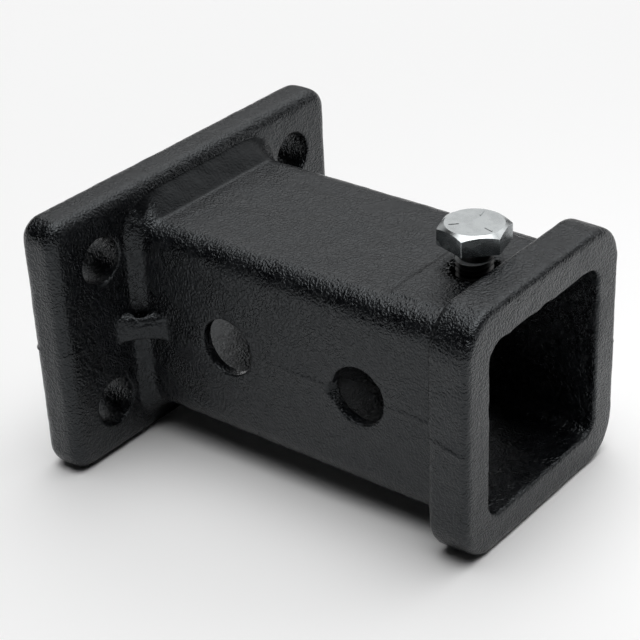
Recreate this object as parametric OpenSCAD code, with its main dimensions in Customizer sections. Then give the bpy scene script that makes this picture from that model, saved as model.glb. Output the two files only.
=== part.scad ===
// Hitch receiver adapter: one iron casting (bolt-on flange, square receiver
// tube, collar round the mouth) and the hex bolt that clamps the shank in it.
// X runs across the flange and Z is up. The tube runs along Y and its mouth
// faces -Y. The origin is the middle of the flange's back face.

/* [Flange] */
// Width of the bolt-on flange
flange_w = 117.4; // [112:0.2:150]
// Height of the bolt-on flange
flange_h = 77.5; // [76:0.5:110]
// Thickness of the flange
flange_t = 13.2; // [10:0.1:20]
// Radius of the flange's four corners, seen from the front
flange_corner_r = 6.4; // [5:0.1:10]
// Rounding of the flange's front edge
flange_front_r = 3.8; // [1:0.1:4.8]
// Rounding of the flange's back edge
flange_back_r = 4.6; // [1:0.1:4.8]

/* [Flange bolt holes] */
// Distance between the bolt holes across the flange
hole_span_x = 82.6; // [82:0.1:92]
// Distance between the bolt holes up the flange
hole_span_z = 44.5; // [30:0.5:48]
// Diameter of each bolt hole
hole_d = 13.8; // [10:0.1:15]

/* [Receiver tube] */
// Distance from the flange's back face to the mouth
overall_l = 128.4; // [120:0.1:180]
// Square opening that takes the shank
socket_w = 51.3; // [51:0.1:52.5]
// Radius of the opening's inner corners
socket_corner_r = 5; // [2:0.5:7]
// Thickness of the tube's wall
tube_wall = 3.45; // [3:0.05:5]
// Radius of the tube's outer corners
tube_corner_r = 7.2; // [5:0.1:9]

/* [Sloped root] */
// Rise of the slope on the flange, above and below the tube
root_rise = 6.1; // [3:0.1:6.5]
// Reach of that slope along the tube
root_reach = 6.2; // [3:0.1:9]
// Width of the slope on the flange, at the tube's two sides
root_side = 3; // [1:0.1:4]
// Reach of the side slope along the tube
root_side_reach = 3.8; // [1:0.1:5]
// Corner radius of the slopes where they meet the flange
root_corner_r = 10; // [7:0.5:14]

/* [Collar] */
// Outer size of the square collar round the mouth
collar_w = 71.8; // [68:0.2:80]
// Length of the collar along the tube
collar_l = 12.2; // [8:0.1:12.4]
// Radius of the collar's four corners
collar_corner_r = 11.8; // [8:0.1:16]
// Rounding of the collar's front edge
collar_front_r = 2; // [0.5:0.1:3]
// Rounding of the collar's back edge
collar_back_r = 1.6; // [0.5:0.1:3]

/* [Hitch pin holes] */
// Diameter of the cross holes for a 5/8 inch hitch pin
pin_hole_d = 16.6; // [13:0.1:18]
// Distance from the mouth to the first cross hole
pin_from_mouth = 38.7; // [30:0.1:45]
// Distance between the two cross holes
pin_pitch = 44.4; // [30:0.1:50]

/* [Corner lugs] */
// How far each lug stands out along the flange
lug_out = 9.4; // [8:0.1:12]
// How far each lug reaches along the tube
lug_along = 10.3; // [8:0.1:12]
// Height of each lug at its two ends
lug_h = 9.6; // [7:0.1:14]
// Depth of the arch under and over each lug
lug_arch = 1.1; // [0.3:0.1:1.5]
// Rounding of the lug's upper front edge
lug_top_r = 2.4; // [0.5:0.1:2.6]
// Rounding of the lug's lower front edge
lug_bottom_r = 0.8; // [0.5:0.1:2.6]
// Height of the lugs' middle above the tube's axis
lug_z = -0.6; // [-2:0.1:2]
// Diameter of the eyelet down through each lug
eyelet_d = 3.2; // [2:0.1:3.4]
// Width of the flare round each end of the eyelet
eyelet_flare = 0.5; // [0.2:0.1:0.8]
// Distance from the tube's side to the eyelet's axis
eyelet_x = 2.8; // [2.6:0.1:3]
// Distance from the flange's face to the eyelet's axis
eyelet_y = 3; // [2.8:0.1:3.2]

/* [Clamp bolt] */
// Thread diameter of the clamp bolt
bolt_d = 10; // [8:1:12]
// Length of the bolt under its head
bolt_l = 12; // [12:1:30]
// Width of the hex head across its flats
head_af = 16.9; // [13:0.1:17.2]
// Height of the hex head
head_h = 6.4; // [5:0.1:8]
// Length of the plain neck between the head and the first full thread
neck_l = 3; // [1:0.5:4.5]
// Diameter of that neck
neck_d = 8.6; // [6:0.1:9.5]
// Turn of the hex head, as it stands
head_turn = 13.9; // [0:0.1:60]
// Distance from the mouth to the bolt's axis
bolt_from_mouth = 21.9; // [21.8:0.1:30]
// Gap between the head and the pad, as the bolt stands
bolt_proud = 7.4; // [0.5:0.1:8]
// Clearance round the bolt in its hole
bolt_clear = 0.05; // [0.01:0.01:0.1]

/* [Clamp pad] */
// Rise of the pad round the clamp bolt above the tube
pad_rise = 0.4; // [0.2:0.1:1]
// Width of the pad across the tube
pad_w = 43; // [24:1:44]
// Distance from the mouth to the pad's far edge
pad_from_mouth = 32.8; // [32:0.1:45]

/* [Hidden] */
over = 1;
tube_w = socket_w + 2 * tube_wall;
pin_first = overall_l - pin_from_mouth;
pin_second = pin_first - pin_pitch;
bolt_at = overall_l - bolt_from_mouth;
pad_top = tube_w / 2 + pad_rise;
head_bottom = pad_top + bolt_proud;
// hex heads are forged with slightly blunt corners
head_corner_r = head_af * 0.558;
head_chamfer_r = head_af / 2 * 0.95;
head_chamfer_drop = (head_corner_r - head_chamfer_r) * tan(30);
washer_face_h = 0.5;
bolt_point = 1;
shell_fn = 32;
arc_steps = 6;

// Stands children, drawn flat in X and Z, on a plane that faces the mouth
module facing_mouth(from_back) {
  translate([0, -from_back, 0]) rotate([90, 0, 0]) children();
}

// Flat rectangle with true round corners
module rounded_rect(w, h, r, fn = 64) {
  square([w - 2 * r, h], center = true);
  square([w, h - 2 * r], center = true);
  for (x = [-1, 1], z = [-1, 1])
    translate([x * (w / 2 - r), z * (h / 2 - r)]) circle(r, $fn = fn);
}

// Radial section of a round disc whose two rims are rounded
module rim_section(r, t, back_r, front_r) {
  back_arc = [for (i = [0:arc_steps])
    let (a = i * 90 / arc_steps)
    [r - back_r + back_r * sin(a), back_r - back_r * cos(a)]];
  front_arc = [for (i = [0:arc_steps])
    let (a = i * 90 / arc_steps)
    [r - front_r + front_r * cos(a), t - front_r + front_r * sin(a)]];
  polygon(concat([[0, 0]], back_arc, front_arc, [[0, t]]));
}

// Plate with round corners and rounded front and back edges
module soft_plate(w, h, t, corner_r, back_r, front_r) {
  hull() {
    for (x = [-1, 1], z = [-1, 1])
      translate([x * (w / 2 - corner_r), z * (h / 2 - corner_r), 0])
        rotate_extrude($fn = shell_fn) rim_section(corner_r, t, back_r, front_r);
  }
}

// Thin slice of a slope: a round-cornered rectangle
module slice(w, h, r) {
  linear_extrude(0.01) rounded_rect(w, h, r, shell_fn);
}

// Slope from the flange's face down to the tube, sunk a little into both
module slope(base_w, base_h, rise, reach) {
  sink = 1;
  run = sink * reach / rise;
  facing_mouth(flange_t - over) hull() {
    slice(base_w, base_h, root_corner_r);
    translate([0, 0, over]) slice(base_w, base_h, root_corner_r);
    translate([0, 0, over + reach + run])
      slice(tube_w - 2 * sink, tube_w - 2 * sink, tube_corner_r - sink);
  }
}

module sloped_root() {
  base_h = tube_w + 2 * root_rise;
  slope(tube_w, base_h, root_rise, root_reach);
  slope(tube_w + 2 * root_side, base_h, root_side, root_side_reach);
}

// Web in the corner between the flange and one side of the tube. Its front
// runs on a little into both.
module lug_web() {
  pitch = lug_along / lug_out;
  linear_extrude(lug_h, center = true)
    polygon([[over, over], [over, -lug_along - over * pitch], [-lug_out - over / pitch, over]]);
}

// Shallow round cutter that arches the lug's upper or lower side. It lies
// square to the lug's front and flares there, which rounds the front edge.
module lug_arch_cut(side, edge_r) {
  span = norm([lug_out, lug_along]);
  arch_r = span * span / (8 * lug_arch) + lug_arch / 2;
  flare = [for (i = [0:arc_steps])
    let (a = i * 90 / arc_steps)
    [arch_r + edge_r - edge_r * cos(a), -edge_r + edge_r * sin(a)]];
  translate([-lug_out / 2, -lug_along / 2, side * (lug_h / 2 - lug_arch + arch_r)])
    rotate([0, 0, atan2(lug_out, lug_along)]) rotate([0, -90, 0])
      rotate_extrude($fn = 96)
        polygon(concat([[0, -span], [arch_r, -span]], flare, [[arch_r + edge_r, over], [0, over]]));
}

module eyelet_cut() {
  mid_h = lug_h / 2 - lug_arch;
  rim_d = eyelet_d + 2 * eyelet_flare;
  translate([-eyelet_x, -eyelet_y, 0]) {
    cylinder(h = lug_h + over, d = eyelet_d, center = true, $fn = 48);
    for (side = [0, 1]) mirror([0, 0, side])
      translate([0, 0, mid_h - eyelet_flare])
        cylinder(h = 2 * eyelet_flare, d1 = eyelet_d, d2 = rim_d + 2 * eyelet_flare, $fn = 48);
  }
}

// Places a lug, or its cuts, at the left (-1) or right (1) of the tube
module at_lug(side) {
  mirror([side > 0 ? 1 : 0, 0, 0])
    translate([-tube_w / 2, -flange_t, lug_z]) children();
}

module lug() {
  difference() {
    lug_web();
    lug_arch_cut(-1, lug_bottom_r);
    lug_arch_cut(1, lug_top_r);
  }
}

module clamp_pad() {
  pad_l = pad_from_mouth - collar_l / 2;
  translate([-pad_w / 2, -overall_l + collar_l / 2, tube_w / 2 - over])
    cube([pad_w, pad_l, over + pad_rise]);
}

module flange_hole_cuts() {
  for (x = [-1, 1], z = [-1, 1])
    translate([x * hole_span_x / 2, over, z * hole_span_z / 2])
      rotate([90, 0, 0]) cylinder(h = flange_t + 2 * over, d = hole_d, $fn = 64);
}

module pin_hole_cuts() {
  for (y = [pin_first, pin_second])
    translate([0, -y, 0]) rotate([0, 90, 0])
      cylinder(h = tube_w + 2 * over, d = pin_hole_d, center = true, $fn = 64);
}

module clamp_hole_cut() {
  translate([0, -bolt_at, socket_w / 2 - over])
    cylinder(h = tube_wall + pad_rise + 2 * over, d = bolt_d + 2 * bolt_clear, $fn = 48);
}

module socket_cut() {
  facing_mouth(-over) linear_extrude(overall_l + 2 * over)
    rounded_rect(socket_w, socket_w, socket_corner_r);
}

module receiver_casting() {
  color("#3a3c40") difference() {
    union() {
      facing_mouth(0)
        soft_plate(flange_w, flange_h, flange_t, flange_corner_r, flange_back_r, flange_front_r);
      facing_mouth(flange_t / 2)
        linear_extrude(overall_l - flange_t / 2 - collar_l / 2)
          rounded_rect(tube_w, tube_w, tube_corner_r);
      sloped_root();
      facing_mouth(overall_l - collar_l)
        soft_plate(collar_w, collar_w, collar_l, collar_corner_r, collar_back_r, collar_front_r);
      clamp_pad();
      for (side = [-1, 1]) at_lug(side) lug();
    }
    socket_cut();
    flange_hole_cuts();
    pin_hole_cuts();
    clamp_hole_cut();
    for (side = [-1, 1]) at_lug(side) eyelet_cut();
  }
}

module clamp_bolt() {
  color("#c8ccce") translate([0, -bolt_at, head_bottom]) {
    intersection() {
      rotate([0, 0, head_turn])
        translate([0, 0, washer_face_h])
          cylinder(h = head_h - washer_face_h, d = head_af / cos(30), $fn = 6);
      union() {
        cylinder(h = head_h - head_chamfer_drop, r = head_corner_r, $fn = 64);
        translate([0, 0, head_h - head_chamfer_drop])
          cylinder(h = head_chamfer_drop, r1 = head_corner_r, r2 = head_chamfer_r, $fn = 64);
      }
    }
    cylinder(h = washer_face_h + over, r = head_chamfer_r, $fn = 64);
    translate([0, 0, -neck_l - over])
      cylinder(h = neck_l + 2 * over, d = neck_d, $fn = 48);
    translate([0, 0, -bolt_l + bolt_point])
      cylinder(h = bolt_l - bolt_point - neck_l, d = bolt_d, $fn = 48);
    translate([0, 0, -bolt_l])
      cylinder(h = bolt_point, d1 = bolt_d - 2 * bolt_point, d2 = bolt_d, $fn = 48);
  }
}

receiver_casting();
clamp_bolt();
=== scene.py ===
# %% [markdown]
# # A cast hitch receiver adapter
#
# The real object is one iron casting under a black coating, and one bright
# zinc-plated bolt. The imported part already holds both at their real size. Here
# the casting gets the skin that sand and paint leave, and the bolt gets its
# thread. Everything is in metres, in the part's own frame: the tube runs along
# Y with its mouth at the low end, and Z is up. Names in capitals are values
# that were chosen. A length times MM is in metres, a plain one in millimetres.

import math

import bmesh
import bpy
from mathutils import Matrix, Vector, noise


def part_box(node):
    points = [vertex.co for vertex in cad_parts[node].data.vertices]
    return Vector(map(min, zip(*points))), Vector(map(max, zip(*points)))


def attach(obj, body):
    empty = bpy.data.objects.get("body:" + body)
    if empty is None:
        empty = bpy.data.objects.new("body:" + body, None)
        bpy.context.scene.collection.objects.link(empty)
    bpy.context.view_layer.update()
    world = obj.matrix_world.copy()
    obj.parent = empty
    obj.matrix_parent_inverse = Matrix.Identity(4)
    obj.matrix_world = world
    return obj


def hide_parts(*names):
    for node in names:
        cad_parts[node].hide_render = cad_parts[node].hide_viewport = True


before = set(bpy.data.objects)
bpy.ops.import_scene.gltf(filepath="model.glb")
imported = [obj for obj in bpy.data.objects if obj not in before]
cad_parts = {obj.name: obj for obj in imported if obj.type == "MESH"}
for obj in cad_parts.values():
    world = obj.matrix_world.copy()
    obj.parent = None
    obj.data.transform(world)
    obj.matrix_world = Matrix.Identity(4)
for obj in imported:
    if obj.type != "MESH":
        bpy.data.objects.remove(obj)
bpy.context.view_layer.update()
MM = 0.001
casting_low, casting_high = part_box("receiver_casting")
bolt_low, bolt_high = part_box("clamp_bolt")
bolt_axis = (bolt_low.y + bolt_high.y) / 2
print("casting from", tuple(casting_low), "to", tuple(casting_high))
print("the bolt's axis stands at y =", round(bolt_axis, 4))

# %% [markdown]
# ## The view
#
# The camera looks down at the mouth and the left side from about half a metre,
# through a long lens, with a slight roll. These numbers come from matching the
# outline of the tube, the flange and the holes. A camera can be placed by its
# coordinates, but a target, two angles and a distance are easier to read and to
# change, so they are written here and the coordinates follow.

# %% Camera
CAMERA_TURN = math.radians(-50.64)
CAMERA_RISE = math.radians(29.60)
CAMERA_ROLL = math.radians(-2.66)
CAMERA_DISTANCE = 511.01 * MM
CAMERA_TARGET = Vector((-2.753, -56.914, -0.098)) * MM
LENS = 103.616
SENSOR = 36
NEAREST_SEEN = 0.01  # metres
FARTHEST_SEEN = 50  # metres

towards_camera = Vector((
    math.sin(CAMERA_TURN) * math.cos(CAMERA_RISE),
    -math.cos(CAMERA_TURN) * math.cos(CAMERA_RISE),
    math.sin(CAMERA_RISE),
))
camera_data = bpy.data.cameras.new("camera")
camera_data.lens = LENS
camera_data.sensor_width = SENSOR
camera_data.clip_start = NEAREST_SEEN
camera_data.clip_end = FARTHEST_SEEN
camera = bpy.data.objects.new("camera", camera_data)
bpy.context.scene.collection.objects.link(camera)
bpy.context.scene.camera = camera
camera.rotation_mode = "QUATERNION"
upright = (-towards_camera).to_track_quat("-Z", "Y")
roll = Matrix.Rotation(CAMERA_ROLL, 4, "Z").to_quaternion()
camera.rotation_quaternion = upright @ roll
camera.location = CAMERA_TARGET + towards_camera * CAMERA_DISTANCE
print("camera stands at", tuple(round(c, 3) for c in camera.location))

# %% [markdown]
# ## Two helpers for node trees
#
# Nodes can be linked one by one, but sums of textures are easier to read as
# sums. So one class wraps a socket and turns + - * into Math nodes, and a
# second one holds a tree and adds any other node from its type, its settings
# and the values of its sockets. The nodes that come back often have a short
# method of their own.

# %% A socket that takes part in sums
class Value:
    """An output socket of a node tree, used like a number."""

    def __init__(self, recipe, socket):
        self.recipe = recipe
        self.socket = socket

    def maths(self, operation, first, second):
        """A Math node with two inputs."""
        settings = {"operation": operation}
        return self.recipe.node("Math", settings, {0: first, 1: second})

    def __add__(self, other):
        return self.maths("ADD", self, other)

    def __radd__(self, other):
        return self.maths("ADD", other, self)

    def __sub__(self, other):
        return self.maths("SUBTRACT", self, other)

    def __rsub__(self, other):
        return self.maths("SUBTRACT", other, self)

    def __mul__(self, other):
        return self.maths("MULTIPLY", self, other)

    def __rmul__(self, other):
        return self.maths("MULTIPLY", other, self)


print("sockets can now be added, subtracted and multiplied")

# %% A node tree with one method for every node
class Recipe:
    """The nodes of a material or of the world."""

    def __init__(self, owner):
        owner.use_nodes = True
        self.tree = owner.node_tree
        self.tree.nodes.clear()

    def node(self, kind, settings=None, values=None, out=0):
        """Adds a node. Settings come first, as some change its sockets."""
        made = self.tree.nodes.new("ShaderNode" + kind)
        for name, value in (settings or {}).items():
            setattr(made, name, value)
        for name, value in (values or {}).items():
            if isinstance(value, Value):
                self.tree.links.new(value.socket, made.inputs[name])
            else:
                made.inputs[name].default_value = value
        return Value(self, made.outputs[out]) if made.outputs else made

    def step(self, value, limits, low=0.0, high=1.0):
        """A smooth step from low at the first limit to high at the second."""
        return self.node("MapRange", {"interpolation_type": "SMOOTHSTEP"}, {
            "Value": value, "From Min": limits[0], "From Max": limits[1],
            "To Min": low, "To Max": high,
        })

    def noise(self, place, size, detail, rough=0.5):
        """Smooth noise whose lumps are about size metres across."""
        return self.node("TexNoise", {}, {
            "Vector": place, "Scale": 1 / size, "Detail": detail,
            "Roughness": rough,
        })

    def axis(self, vector, letter):
        """One coordinate of a vector."""
        return self.node("SeparateXYZ", {}, {0: vector}, letter)

    def vector(self, operation, first, second):
        """A vector from two others, coordinate by coordinate."""
        return self.node("VectorMath", {"operation": operation}, {0: first, 1: second})

    def length(self, vector):
        """How long a vector is."""
        return self.node("VectorMath", {"operation": "LENGTH"}, {0: vector}, "Value")

    def mix(self, share, first, second):
        """The first colour where share is 0 and the second where it is 1."""
        values = {0: share, 6: first, 7: second}
        return self.node("Mix", {"data_type": "RGBA"}, values, 2)

    def bump(self, height):
        """A normal for relief whose height is in millimetres."""
        values = {"Strength": 1.0, "Distance": MM, "Height": height}
        return self.node("Bump", {}, values)


print("a recipe can now hold a material or the world")

# %% [markdown]
# ## Floor and studio light
#
# The casting stands on the lower edge of its flange and on the lower edge of
# its collar, which is less deep. A floor under both is therefore not quite
# level in the part's frame. The light is a white room: a bright ceiling, a
# wall on the far right that grows brighter upwards, and dim walls elsewhere.
# Black gloss paint shows little but what it mirrors, so this pattern of bright
# and dim does most of the work, and a gradient in the world is the plainest
# way to paint it. Only the camera sees a pale backdrop in place of the room:
# Light Path tells which rays are its own, so the background is pale from every
# side and the paint still mirrors the dim walls. A weak lamp whitens the floor
# that the mouth mirrors.

# %% Floor
COLLAR_FOOT = (-126.6 * MM, -35.9 * MM)
FLANGE_FOOT = (-9.2 * MM, -38.75 * MM)
FLOOR_SIZE = 12.0  # metres

run = COLLAR_FOOT[0] - FLANGE_FOOT[0]
rise = COLLAR_FOOT[1] - FLANGE_FOOT[1]
lean = math.atan2(rise, run) - math.pi
tilt = Matrix.Rotation(lean, 3, "X")
ground = bmesh.new()
bmesh.ops.create_grid(ground, x_segments=1, y_segments=1, size=FLOOR_SIZE / 2)
bmesh.ops.rotate(ground, verts=ground.verts, cent=(0, 0, 0), matrix=tilt)
bmesh.ops.translate(ground, verts=ground.verts, vec=(0, *FLANGE_FOOT))


def object_from(shape, name):
    """A new object at the origin with the mesh that a bmesh holds."""
    mesh = bpy.data.meshes.new(name)
    shape.to_mesh(mesh)
    shape.free()
    made = bpy.data.objects.new(name, mesh)
    bpy.context.scene.collection.objects.link(made)
    return made


floor = object_from(ground, "floor")
print("the floor leans by", round(math.degrees(lean), 2), "degrees")

# %% Floor finish
FLOOR_COLOR = (0.93, 0.93, 0.93, 1)
FLOOR_ROUGHNESS = 0.7

paper = bpy.data.materials.new("white_paper")
recipe = Recipe(paper)
surface = recipe.node("BsdfPrincipled", {}, {
    "Base Color": FLOOR_COLOR, "Roughness": FLOOR_ROUGHNESS,
})
recipe.node("OutputMaterial", {}, {"Surface": surface})
floor.data.materials.append(paper)
print("white paper on", len(floor.data.polygons), "floor face")

# %% Room of light
CEILING = 3.5
BRIGHT_WALL = 1.5
DIM_WALL = 0.01
BACKDROP = 0.93
BRIGHT_WAY = Vector((0.98, 0.20, 0))
WALL_ACROSS = (0.30, 0.65)  # dim to bright, as the cosine to BRIGHT_WAY
WALL_UP = (0.0, 0.75)  # dim to bright, as the sine of a ray's rise
CEILING_UP = (0.80, 0.97)
WHITE = (1, 1, 1, 1)

world = bpy.data.worlds.new("studio")
bpy.context.scene.world = world
recipe = Recipe(world)
ray = recipe.node("TexCoord", out="Generated")
upwards = recipe.axis(ray, "Z")
towards_wall = recipe.node(
    "VectorMath", {"operation": "DOT_PRODUCT"}, {0: ray, 1: BRIGHT_WAY}, "Value",
)
wall_share = recipe.step(towards_wall, WALL_ACROSS)
wall = wall_share * recipe.step(upwards, WALL_UP, 0.0, BRIGHT_WALL)
ceiling = recipe.step(upwards, CEILING_UP, 0.0, CEILING)
room = DIM_WALL + wall + ceiling
seen = recipe.node("LightPath", out="Is Camera Ray")
strength = room + seen * (BACKDROP - room)
light = recipe.node("Background", {}, {"Color": WHITE, "Strength": strength})
recipe.node("OutputWorld", {}, {"Surface": light})
print("the room's light takes", len(recipe.tree.nodes), "nodes")

# %% Lamp over the floor in front of the mouth
LAMP_PLACE = (0.07, -0.18, 0.55)  # metres
LAMP_SIZE = 0.22  # metres
LAMP_WATTS = 0.03
LAMP_SPREAD = math.radians(50)

lamp_data = bpy.data.lights.new("floor_lamp", "AREA")
lamp_data.shape = "DISK"
lamp_data.size = LAMP_SIZE
lamp_data.energy = LAMP_WATTS
lamp_data.spread = LAMP_SPREAD
lamp = bpy.data.objects.new("floor_lamp", lamp_data)
lamp.location = LAMP_PLACE
bpy.context.scene.collection.objects.link(lamp)
print("lamp of", LAMP_WATTS, "watts at", LAMP_PLACE)

# %% [markdown]
# ## The casting's skin
#
# Sand leaves no face quite flat and no corner quite sharp. The mould's two
# halves leave a faint ridge along both sides, one cross hole has a nick in its
# rim, the mouth's inner edge wanders, and the bolt's hole is countersunk. All
# of that is shape, so it is modelled. It could be sculpted by hand, or come
# from a Displace modifier with one texture. A short function for each form
# says more clearly what is meant, and gives the same skin on every run. For
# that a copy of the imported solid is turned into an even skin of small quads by
# a voxel remesh, smoothed a little to round its corners, moved point by point,
# and thinned again.

# %% Copy and remesh
SAME_POINT = 0.001 * MM
VOXEL = 0.5 * MM
SMOOTHING = 0.5
SMOOTHING_ROUNDS = 6

solid = bmesh.new()
solid.from_mesh(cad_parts["receiver_casting"].data)
bmesh.ops.remove_doubles(solid, verts=solid.verts, dist=SAME_POINT)
skin = object_from(solid, "casting_skin")


def apply_modifiers(thing):
    """Keeps what the modifiers make and removes them."""
    graph = bpy.context.evaluated_depsgraph_get()
    done = bpy.data.meshes.new_from_object(thing.evaluated_get(graph))
    thing.modifiers.clear()
    thing.data = done


remesh = skin.modifiers.new("remesh", "REMESH")
remesh.mode = "VOXEL"
remesh.voxel_size = VOXEL
smooth = skin.modifiers.new("smooth", "SMOOTH")
smooth.factor = SMOOTHING
smooth.iterations = SMOOTHING_ROUNDS
apply_modifiers(skin)
print("skin of", len(skin.data.polygons), "quads")

# %% Waves of the sand
BROAD = (13, 0.13)  # length and height of a wave
SHORT = (5, 0.12)
FINE = (2, 0.05)
SHORT_OFFSET = Vector((7, 0, 0))


def waves(p):
    """How far the sand has pushed the face at a point out or in."""
    broad = BROAD[1] * noise.noise(p / BROAD[0])
    short = SHORT[1] * noise.noise(p / SHORT[0] + SHORT_OFFSET)
    return broad + short + FINE[1] * noise.noise(p / FINE[0])


sample = list(skin.data.vertices)[::50]
waviest = max(abs(waves(vertex.co / MM)) for vertex in sample)
print("the sand moves the skin by up to", round(waviest, 2), "mm")

# %% Ridge where the mould parts
TUBE_SIDE = 29.1
RIDGE_FROM = TUBE_SIDE - 1.5
RIDGE_HEIGHT = 0.4
RIDGE_WIDTH = 0.4
RIDGE_LEVEL = -0.2
RIDGE_SWAY = (15, 0.3)  # length and height of a wave
SWAY_ROW = (3, 0)  # the rows keep two looks at the noise apart
FADE_ROW = (9, 1)
COLLAR_BACK = -116
COLLAR_PLACE = -118
COLLAR_LEVEL = 0.3
COLLAR_CLIMB = 0.2
FADE_LENGTH = 6
FADE_MIDDLE = 0.6
FADE_SWAY = 0.8


def ridge(p):
    """Height of the parting ridge at a point."""
    if abs(p.x) < RIDGE_FROM:
        return 0
    if p.y < COLLAR_BACK:
        middle = COLLAR_LEVEL + COLLAR_CLIMB * (p.y - COLLAR_PLACE)
    else:
        along = Vector((p.y / RIDGE_SWAY[0], *SWAY_ROW))
        middle = RIDGE_LEVEL + RIDGE_SWAY[1] * noise.noise(along)
    fade = noise.noise(Vector((p.y / FADE_LENGTH, *FADE_ROW)))
    left = max(0, FADE_MIDDLE + FADE_SWAY * fade)
    return RIDGE_HEIGHT * left * math.exp(-((p.z - middle) / RIDGE_WIDTH) ** 2)


crest = max(ridge(vertex.co / MM) for vertex in sample)
print("the ridge is up to", round(crest, 2), "mm high")

# %% Nick in a cross hole's rim
NICK_PLACE = Vector((-29.1, -81.9, -0.8))
NICK_REACH = 2.6
NICK_DEPTH = 1.7


def nick(p):
    """Depth of the nick at a point."""
    gap = (p - NICK_PLACE).length / NICK_REACH
    return NICK_DEPTH * (1 - gap * gap) if gap < 1 else 0


print("the nick is", nick(NICK_PLACE), "mm deep at its middle")

# %% The mouth's wandering inner edge
SOCKET_HALF = 25.65
EDGE_REACH = 3.5
EDGE_WANDER = 0.5
EDGE_OFFSET = Vector((0, 5, 0))


def wander(p):
    """How far the mouth's inner edge strays outwards at a point."""
    across = abs(max(abs(p.x), abs(p.z)) - SOCKET_HALF)
    along = p.y - casting_low.y / MM
    near = max(0, 1 - across / EDGE_REACH) * max(0, 1 - along / EDGE_REACH)
    return EDGE_WANDER * near * noise.noise(p / EDGE_REACH + EDGE_OFFSET)


print("the mouth's edge strays by up to", EDGE_WANDER, "mm")

# %% Countersink round the bolt's hole
PAD_TOP = 29.5
SINK_RADIUS = 6.4


def countersink(p):
    """Highest that a point may lie round the bolt's hole."""
    reach = math.hypot(p.x, p.y - bolt_axis / MM)
    if reach < SINK_RADIUS and p.z > 0:
        return PAD_TOP - (SINK_RADIUS - reach)
    return math.inf


print("the hole is countersunk to a radius of", SINK_RADIUS, "mm")

# %% Move the skin's points
INSIDE = 0.005 * MM


def kept_inside(value, low, high):
    """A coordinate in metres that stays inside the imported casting's box."""
    return min(max(value, low + INSIDE), high - INSIDE)


moved = []
for vertex in skin.data.vertices:
    p = vertex.co / MM
    p = p + vertex.normal * (waves(p) + ridge(p)) + Vector((nick(p), 0, 0))
    p = p + Vector((p.x, 0, p.z)).normalized() * wander(p)
    p.z = min(p.z, countersink(p))
    for value, low, high in zip(p, casting_low, casting_high):
        moved.append(kept_inside(value * MM, low, high))
skin.data.vertices.foreach_set("co", moved)
print("moved", len(skin.data.vertices), "points")

# %% Thin the skin
TRIANGLES = 185000  # a quad counts as two

thin = skin.modifiers.new("thin", "DECIMATE")
thin.ratio = TRIANGLES / (2 * len(skin.data.polygons))
apply_modifiers(skin)
skin.data.shade_smooth()
skin.data.name = "casting_skin"
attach(skin, "casting")
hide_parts("receiver_casting")
print("thinned to", len(skin.data.polygons), "faces")

# %% [markdown]
# ## Black paint over sand-cast iron
#
# The coating is nearly black and half glossy. It follows every grain of the
# sand, so its gloss breaks up into fine worm-like glints. That is too fine for
# the mesh, and a photograph of paint would repeat and stretch, so noise in the
# material makes it. Three sizes of bump do: soft lumps of a few millimetres,
# worms of under one millimetre made by noise that is looked up at places which
# other noise has shifted, and a fine grain.

# %% Lumps, worms and grain
LUMP_SIZE = 3.6 * MM
LUMP_HEIGHT = 0.10
WORM_SIZE = 0.68 * MM
WORM_HEIGHT = 0.12
WORM_DETAIL = 1.5
WORM_FRAY = 0.45
WORM_LEVELS = (0.3, 0.7)
SHIFT_SCALE = 520
SHIFT_REACH = 1.3 * MM
GRAIN_SIZE = 0.3 * MM
GRAIN_HEIGHT = 0.028

black_paint = bpy.data.materials.new("black_paint")
recipe = Recipe(black_paint)
place = recipe.node("TexCoord", out="Object")
shift = recipe.node(
    "TexNoise", {}, {"Vector": place, "Scale": SHIFT_SCALE, "Detail": 1}, "Color",
)
shifted = recipe.node(
    "VectorMath", {"operation": "MULTIPLY_ADD"},
    {0: shift, 1: (SHIFT_REACH,) * 3, 2: place},
)
lumps = recipe.noise(place, LUMP_SIZE, detail=1)
frayed = recipe.noise(shifted, WORM_SIZE, WORM_DETAIL, WORM_FRAY)
worms = recipe.step(frayed, WORM_LEVELS)
grain = recipe.noise(place, GRAIN_SIZE, detail=1)
print("the relief takes", len(recipe.tree.nodes), "nodes so far")

# %% [markdown]
# ### Where the coat changes
#
# Upright faces show the relief most. Round the bolt the coat is rougher still,
# and a ragged matt black patch there is painted shade under the head. Painted
# shade also darkens the sloped root by the flange, which is smoother than the
# rest. Such places could be painted by hand as a mask. Here the distance to the
# hole and the way that a face points find them, so the masks need no picture and
# fit from every side.

# %% Rougher round the bolt and on upright faces
HOLE_PLACE = (0, bolt_axis, PAD_TOP * MM)
ROUGH_RING = (11 * MM, 8 * MM)
ROUGH_GAIN = 2.2
UPRIGHT = (0.35, 0.1)  # square of the normal's Z
UPRIGHT_GAIN = 1.3

from_hole = recipe.length(recipe.vector("SUBTRACT", place, HOLE_PLACE))
rougher = recipe.step(from_hole, ROUGH_RING, 1.0, ROUGH_GAIN)
normal = recipe.node("TexCoord", out="Normal")
normal_up = recipe.axis(normal, "Z")
steeper = recipe.step(normal_up * normal_up, UPRIGHT, 1.0, UPRIGHT_GAIN)
print("rougher within", ROUGH_RING[0] / MM, "mm of the hole")

# %% Smoother on the sloped root
SLANTED = (0.13, 0.21)  # square of the normal's Y times Z: 0.25 at 45 degrees
ROOT_FRONT = (-22 * MM, -20 * MM)
ROOT_EDGE = ((35.8 * MM) ** 2, (35.0 * MM) ** 2)  # squares, for above and below
ROOT_SMOOTHNESS = 0.7

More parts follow.
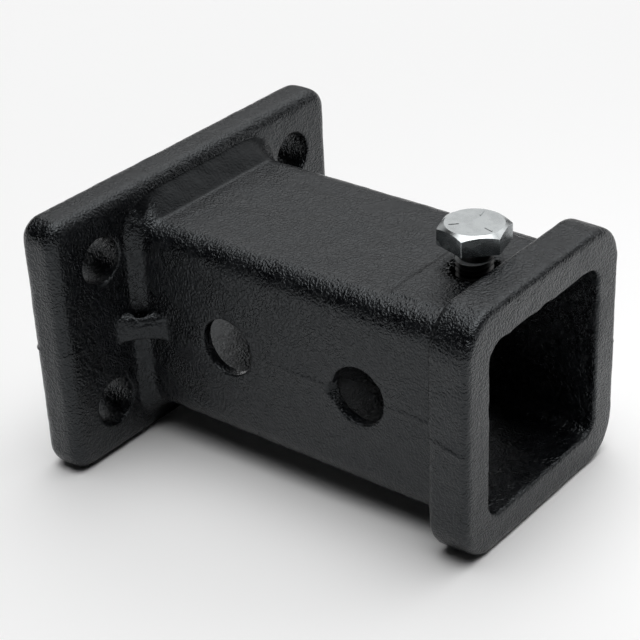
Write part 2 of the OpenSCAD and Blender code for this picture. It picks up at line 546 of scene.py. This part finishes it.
slant = normal_up * recipe.axis(normal, "Y")
level = recipe.axis(place, "Z")
root = recipe.step(slant * slant, SLANTED)
root = root * recipe.step(recipe.axis(place, "Y"), ROOT_FRONT)
root = root * recipe.step(level * level, ROOT_EDGE)
smoother = 1.0 - ROOT_SMOOTHNESS * root
fine_relief = WORM_HEIGHT * worms + GRAIN_HEIGHT * grain
relief = LUMP_HEIGHT * lumps + fine_relief * rougher * steeper * smoother
bump = recipe.bump(relief)
print("the masks and the relief take", len(recipe.tree.nodes), "nodes")

# %% Paint and painted shade
PAINT = (0.0012, 0.0014, 0.0020, 1)
PAINT_WORN = (0.0030, 0.0034, 0.0044, 1)
PAINT_SHEEN = (0.90, 0.96, 1.0, 1)
PAINT_IOR = 1.48
PAINT_ROUGHNESS = 0.25
WORN_ROUGHNESS = 0.07  # added where the paint is worn
CLOUD_SIZE = 9 * MM
CLOUD_LEVELS = (0.35, 0.7)
# The next three values paint shade: the black of a matt patch under the bolt's head,
# its ring and how ragged it is.
SHADE_BLACK = (0.0010, 0.0010, 0.0010, 1)
HEAD_SHADE_RING = (9.1 * MM, 7.9 * MM)
HEAD_SHADE_RAGGED = 2.5 * MM
# The share of painted shade that darkens the sloped root.
ROOT_SHADE = 0.4

worn = recipe.step(recipe.noise(place, CLOUD_SIZE, detail=3), CLOUD_LEVELS)
paint = recipe.node("BsdfPrincipled", {}, {
    "Base Color": recipe.mix(worn, PAINT, PAINT_WORN),
    "Roughness": PAINT_ROUGHNESS + WORN_ROUGHNESS * worn,
    "Specular Tint": PAINT_SHEEN, "IOR": PAINT_IOR, "Normal": bump,
})
# A matt black coat that mirrors nothing, used as painted shade.
painted_shade = recipe.node("BsdfPrincipled", {}, {
    "Base Color": SHADE_BLACK, "Roughness": 1.0, "Specular IOR Level": 0.0,
    "Normal": bump,
})
# Painted shade in a ragged patch under the bolt's head, and a share of it on the root.
head_shade = recipe.step(from_hole + HEAD_SHADE_RAGGED * worms, HEAD_SHADE_RING)
shade_share = head_shade + ROOT_SHADE * root
surface = recipe.node("MixShader", {}, {0: shade_share, 1: paint, 2: painted_shade})
recipe.node("OutputMaterial", {}, {"Surface": surface})
skin.data.materials.clear()
skin.data.materials.append(black_paint)
print("black_paint has", len(recipe.tree.nodes), "nodes")

# %% [markdown]
# ## The clamp bolt
#
# The head is upset round with a cone on top, and its six flats are cut
# afterwards: that is why each corner ends in a curved edge. A hexagon with a
# bevel would have straight edges there. So the same two steps as on the real
# bolt make it here, a profile spun round and six cuts by a plane. The bolt is
# made in millimetres round the Z axis, and scaled and moved at the end.

# %% Spin a profile and cut it
HEAD_TOP = bolt_high.z / MM
HEAD_HEIGHT = 6.4
SHOULDER = HEAD_TOP - HEAD_HEIGHT
CROWN = HEAD_TOP - 0.45
FLATS = 17.0
CORNER = 9.8  # radius of the round blank
RING = 7.8  # radius where the cone ends, on top and below
TURN = math.radians(13.9)
WELD = 0.001  # points closer than this become one
SLACK = 0.0005  # points this near a cutting plane count as on it


def spun(profile, steps):
    """A closed shape from (radius, height) pairs, turned round the Z axis."""
    shape = bmesh.new()
    points = [shape.verts.new((r, 0, z)) for r, z in profile]
    for low, high in zip(points, points[1:]):
        shape.edges.new((low, high))
    bmesh.ops.spin(
        shape, geom=shape.verts[:] + shape.edges[:], cent=(0, 0, 0),
        axis=(0, 0, 1), angle=2 * math.pi, steps=steps, use_merge=True,
    )
    bmesh.ops.remove_doubles(shape, verts=shape.verts, dist=WELD)
    return shape


def cut(shape, point, direction):
    """Cuts off what lies beyond a plane and closes the cut."""
    bmesh.ops.bisect_plane(
        shape, geom=shape.verts[:] + shape.edges[:] + shape.faces[:], dist=SLACK,
        plane_co=point, plane_no=direction, clear_outer=True,
    )
    bmesh.ops.holes_fill(shape, edges=shape.edges[:], sides=0)


print("the head spans", round(SHOULDER, 2), "to", round(HEAD_TOP, 2), "mm")

# %% Head and neck
SIDES = 6
NECK = 3.0
NECK_RADIUS = 4.3
NECK_FLARE = 0.25
NECK_LAP = 0.3  # how far the neck reaches into the thread
WASHER_FACE = 0.5
HEAD_STEPS = 144
CONE = math.radians(30)

neck_end = SHOULDER - NECK - NECK_LAP
drop = (CORNER - RING) * math.tan(CONE)
head = spun([
    (0, neck_end), (NECK_RADIUS, neck_end),
    (NECK_RADIUS, SHOULDER - NECK_FLARE), (NECK_RADIUS + NECK_FLARE, SHOULDER),
    (RING, SHOULDER), (RING, SHOULDER + WASHER_FACE),
    (CORNER, SHOULDER + WASHER_FACE), (CORNER, CROWN - drop),
    (RING, CROWN), (0, CROWN),
], HEAD_STEPS)
for side in range(SIDES):
    angle = TURN + math.radians(180 / SIDES + 360 / SIDES * side)
    outwards = Vector((math.cos(angle), math.sin(angle), 0))
    cut(head, outwards * FLATS / 2, outwards)
bmesh.ops.recalc_face_normals(head, faces=head.faces)
open_edges = sum(edge.is_boundary for edge in head.edges)
print("head has", len(head.faces), "faces,", open_edges, "open edges")

# %% Soften the head's corners
CORNER_ROUND = 0.15
SHORTEST_CORNER = 3
UPRIGHT_SLACK = 0.01


def is_corner(edge):
    """Whether an edge is an upright one at a corner of the hexagon."""
    first, second = (vertex.co for vertex in edge.verts)
    if edge.calc_length() <= SHORTEST_CORNER:
        return False
    if abs(first.x - second.x) >= UPRIGHT_SLACK:
        return False
    if abs(first.y - second.y) >= UPRIGHT_SLACK:
        return False
    return first.to_2d().length > FLATS / 2


corners = [edge for edge in head.edges if is_corner(edge)]
bmesh.ops.bevel(
    head, geom=corners, affect="EDGES", offset=CORNER_ROUND, segments=2,
    profile=0.5, material=-1,
)
print("rounded", len(corners), "corner edges")

# %% Ticks on the head
TICKS = 3
TICK_SIZE = (2.6, 0.42, 0.44)  # length, width and height
TICK_PLACE = (5.4, 0, CROWN - 0.1)

for side in range(TICKS):
    tick = bmesh.ops.create_cube(head, size=1)["verts"]
    bmesh.ops.scale(head, verts=tick, vec=TICK_SIZE)
    bmesh.ops.translate(head, verts=tick, vec=TICK_PLACE)
    turned = Matrix.Rotation(TURN + side * math.radians(360 / TICKS), 3, "Z")
    bmesh.ops.rotate(head, verts=tick, cent=(0, 0, 0), matrix=turned)
print("the head carries", TICKS, "ticks")

# %% [markdown]
# ### Its thread
#
# A rolled thread is one groove that climbs round the shank. Stacked rings would
# look alike from afar, but their crests don't climb. So the section of one turn
# is spun upwards as it goes round, and both ends are cut off level. The whole
# is turned so that the first crest comes out under the head on the camera's
# side. The lower end is turned down to a short cone, which lets the real bolt
# find its hole.

# %% Thread
LENGTH = 12.0
PITCH = 1.5
CREST = 4.98
GROOVE = 4.17
SECTION = [
    (GROOVE, 0), (GROOVE, 0.375), (CREST, 0.844), (CREST, 1.031), (GROOVE, PITCH),
]
CREST_TO_END = 0.56  # from a crest's middle up to the section's end
STEPS_A_TURN = 48
THREAD_TOP = SHOULDER - NECK
THREAD_END = SHOULDER - LENGTH
FIRST_CREST = THREAD_TOP - 0.85

turns = math.ceil((LENGTH - NECK) / PITCH) + 2
start = FIRST_CREST + CREST_TO_END - PITCH * turns
thread = bmesh.new()
points = [thread.verts.new((r, 0, start + z)) for r, z in SECTION]
for low, high in zip(points, points[1:]):
    thread.edges.new((low, high))
bmesh.ops.spin(
    thread, geom=thread.verts[:] + thread.edges[:], cent=(0, 0, 0),
    axis=(0, 0, 1), dvec=(0, 0, PITCH / STEPS_A_TURN),
    angle=2 * math.pi * turns, steps=STEPS_A_TURN * turns,
)
bmesh.ops.remove_doubles(thread, verts=thread.verts, dist=WELD)
turned = Matrix.Rotation(CAMERA_TURN - math.pi / 2, 3, "Z")
bmesh.ops.rotate(thread, verts=thread.verts, cent=(0, 0, 0), matrix=turned)
print("spun", turns, "turns of thread")

# %% Trim the thread's ends
END_RADIUS = 3.95

cut(thread, (0, 0, THREAD_TOP), (0, 0, 1))
cut(thread, (0, 0, THREAD_END), (0, 0, -1))
for vertex in thread.verts:
    reach = vertex.co.to_2d().length
    limit = END_RADIUS + vertex.co.z - THREAD_END
    if reach > limit:
        vertex.co.xy *= limit / reach
bmesh.ops.recalc_face_normals(thread, faces=thread.faces)
open_edges = sum(edge.is_boundary for edge in thread.edges)
print("thread has", len(thread.faces), "faces,", open_edges, "open edges")

# %% Join and place the bolt
SHARPEST_SMOOTH = math.radians(25)

thread_mesh = bpy.data.meshes.new("thread")
thread.to_mesh(thread_mesh)
thread.free()
head.from_mesh(thread_mesh)
bmesh.ops.scale(head, verts=head.verts, vec=(MM, MM, MM))
bmesh.ops.translate(head, verts=head.verts, vec=(0, bolt_axis, 0))
bolt = object_from(head, "plated_bolt")
bolt.data.shade_smooth()
bolt.data.set_sharp_from_angle(angle=SHARPEST_SMOOTH)
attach(bolt, "bolt")
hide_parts("clamp_bolt")
print("the bolt has", len(bolt.data.polygons), "faces")

# %% [markdown]
# ## Bright zinc
#
# Zinc plating is a clean, slightly cool metal. It is not a mirror: tumbling
# leaves fine scuffs, and the die leaves faint rings on the head's top. Painted
# shade darkens the flats and the other upright faces. Painted shade blackens the
# neck and the thread, and a painted highlight brightens the first crest below the
# head. One metal of one colour would look like chrome, so the distance to the
# bolt's axis makes the rings, the way that a face points finds the upright faces
# for their painted shade, and the height finds the painted shade and highlight.

# %% Rings and scuffs
RING_SCALE = 4000
RING_HEIGHT = 0.004
SCUFF_SIZE = 0.5 * MM
SCUFF_HEIGHT = 0.004

zinc = bpy.data.materials.new("bright_zinc")
recipe = Recipe(zinc)
place = recipe.node("TexCoord", out="Object")
centred = recipe.vector("SUBTRACT", place, (0, bolt_axis, 0))
radius = recipe.length(recipe.vector("MULTIPLY", centred, (1, 1, 0)))
rings = recipe.node(
    "TexNoise", {"noise_dimensions": "1D"},
    {"W": radius, "Scale": RING_SCALE, "Detail": 2},
)
scuffs = recipe.noise(place, SCUFF_SIZE, detail=2)
bump = recipe.bump(RING_HEIGHT * rings + SCUFF_HEIGHT * scuffs)
print("the zinc's relief takes", len(recipe.tree.nodes), "nodes")

# %% Painted shade on flats and thread, painted highlight on a crest
DULL_SIZE = 4 * MM
DULL_LEVELS = (0.4, 0.75)
SIDEWAYS = (0.2, 0.05)  # square of the normal's Z
HEAD_LOW = ((SHOULDER - 0.05) * MM, (SHOULDER - 0.25) * MM)
CREST_LOW = ((FIRST_CREST - 0.35) * MM, (FIRST_CREST - 0.55) * MM)
CREST_HIGH = ((FIRST_CREST + 0.25) * MM, (FIRST_CREST + 0.4) * MM)

dull = recipe.step(recipe.noise(place, DULL_SIZE, detail=3), DULL_LEVELS)
normal_up = recipe.axis(recipe.node("TexCoord", out="Normal"), "Z")
# Painted shade on faces that point sideways: the flats, the neck and the thread.
side_shade = recipe.step(normal_up * normal_up, SIDEWAYS)
level = recipe.axis(place, "Z")
below_head = recipe.step(level, HEAD_LOW)
# Painted shade from the head down, but for the first crest, which gets a painted
# highlight.
thread_shade = recipe.step(level, CREST_LOW) + below_head * recipe.step(level, CREST_HIGH)
crest_highlight = below_head * (1 - thread_shade)
# The oil in the printed text is painted shade, and the crest is a painted highlight.
print("oil from the head down, but for a crest at", round(FIRST_CREST, 2), "mm")

# %% Zinc
ZINC = (0.52, 0.545, 0.55, 1)
ZINC_DULL = (0.42, 0.44, 0.445, 1)
# Painted shade: a darker zinc for faces that point sideways.
ZINC_SIDE_SHADE = (0.40, 0.43, 0.44, 1)
# Painted highlight: a pale zinc for the first crest under the head.
CREST_HIGHLIGHT = (0.85, 0.87, 0.88, 1)
# Painted shade: near black for the neck and the thread under the head.
THREAD_SHADE_BLACK = (0.004, 0.004, 0.004, 1)
HIGHLIGHT_DULLNESS = 0.8
ZINC_ROUGHNESS = 0.22
ROUGHER_DULL = 0.1
ROUGHER_SHADED = 0.15
ROUGHER_HIGHLIGHT = 0.3

color = recipe.mix(dull, ZINC, ZINC_DULL)
color = recipe.mix(side_shade, color, ZINC_SIDE_SHADE)
color = recipe.mix(crest_highlight, color, CREST_HIGHLIGHT)
color = recipe.mix(thread_shade, color, THREAD_SHADE_BLACK)
# The painted highlight is half matt so that it catches light, and the painted shade is
# no metal.
metallic = (1 - thread_shade) * (1 - HIGHLIGHT_DULLNESS * crest_highlight)
roughness = ZINC_ROUGHNESS + ROUGHER_DULL * dull
roughness = roughness + ROUGHER_SHADED * thread_shade + ROUGHER_HIGHLIGHT * crest_highlight
surface = recipe.node("BsdfPrincipled", {}, {
    "Base Color": color, "Metallic": metallic, "Roughness": roughness,
    "Normal": bump,
})
recipe.node("OutputMaterial", {}, {"Surface": surface})
bolt.data.materials.append(zinc)
print("bright_zinc has", len(recipe.tree.nodes), "nodes")

# %% Finish
bpy.context.scene.view_settings.view_transform = "Standard"
